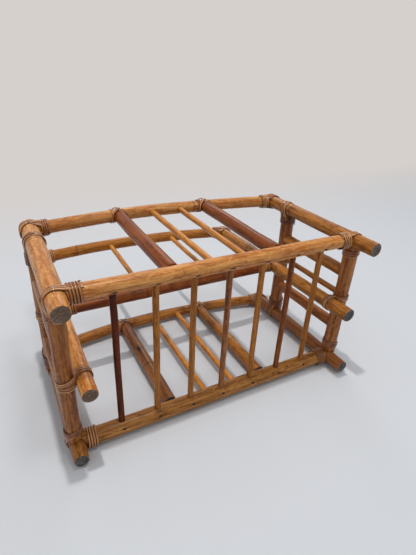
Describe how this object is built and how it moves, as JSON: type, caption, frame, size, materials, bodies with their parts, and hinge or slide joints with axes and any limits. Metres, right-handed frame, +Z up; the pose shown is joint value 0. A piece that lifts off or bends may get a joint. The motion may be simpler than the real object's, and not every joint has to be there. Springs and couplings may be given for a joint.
{
  "type": "magazine rack",
  "caption": "Lacquered cane magazine rack with arched side panels, a taller central divider with a bowed handle, and split cane lashings, lying on one long side.",
  "frame": {"origin": "middle of the ground under the rack as it lies on one long side", "axes": "+X along the long rails from the left end to the right end, +Y from the feet towards the handle, +Z up from the long side it lies on to the other"},
  "size_m": [0.4524, 0.4122, 0.2402],
  "materials": {
    "honey_cane": "gloss lacquer over honey coloured peeled rattan pole, darker node rings",
    "honey_cane_thin": "gloss lacquer over thin orange honey rattan core",
    "tan_cane": "gloss lacquer over tan brown rattan",
    "umber_cane": "gloss lacquer over streaky brown rattan pole",
    "red_brown_cane": "gloss lacquer over red brown rattan pole",
    "dark_cane": "gloss lacquer over dark red brown rattan core",
    "split_cane_lashing": "gloss lacquer over flat split cane strands"
  },
  "bodies": {
    "root": {"base_rail_lower": "tan_cane", "base_rail_upper": "honey_cane", "base_spindle_1": "dark_cane", "base_spindle_2": "tan_cane", "base_spindle_3": "tan_cane", "base_spindle_4": "tan_cane", "base_spindle_5": "tan_cane", "base_spindle_6": "tan_cane", "base_spindle_7": "tan_cane", "divider_rail": "red_brown_cane", "divider_stick_1": "honey_cane_thin", "divider_stick_2": "honey_cane_thin", "end_bar_left_1": "umber_cane", "end_bar_left_2": "honey_cane_thin", "end_bar_left_3": "umber_cane", "end_bar_right_1": "umber_cane", "end_bar_right_2": "honey_cane_thin", "end_bar_right_3": "umber_cane", "end_rail_base_left": "umber_cane", "end_rail_base_right": "umber_cane", "end_rail_top_left": "umber_cane", "end_rail_top_right": "umber_cane", "handle_rail": "honey_cane", "lashing_base_lower_left": "split_cane_lashing", "lashing_base_lower_right": "split_cane_lashing", "lashing_base_upper_left": "split_cane_lashing", "lashing_base_upper_right": "split_cane_lashing", "lashing_end_lower_left": "split_cane_lashing", "lashing_end_lower_right": "split_cane_lashing", "lashing_end_upper_left": "split_cane_lashing", "lashing_end_upper_right": "split_cane_lashing", "lashing_handle_left": "split_cane_lashing", "lashing_handle_right": "split_cane_lashing", "lashing_middle_base_left": "split_cane_lashing", "lashing_middle_base_right": "split_cane_lashing", "lashing_middle_end_left": "split_cane_lashing", "lashing_middle_end_right": "split_cane_lashing", "lashing_top_lower_left": "split_cane_lashing", "lashing_top_lower_right": "split_cane_lashing", "lashing_top_upper_left": "split_cane_lashing", "lashing_top_upper_right": "split_cane_lashing", "leg_lower_left": "tan_cane", "leg_lower_right": "tan_cane", "leg_middle_left": "honey_cane", "leg_middle_right": "honey_cane", "leg_upper_left": "honey_cane", "leg_upper_right": "honey_cane", "side_bar_lower_1": "red_brown_cane", "side_bar_lower_2": "honey_cane_thin", "side_bar_lower_3": "honey_cane_thin", "side_bar_lower_4": "red_brown_cane", "side_bar_upper_1": "red_brown_cane", "side_bar_upper_2": "honey_cane_thin", "side_bar_upper_3": "honey_cane_thin", "side_bar_upper_4": "red_brown_cane", "top_rail_lower": "tan_cane", "top_rail_upper": "honey_cane"}
  },
  "joints": []
}
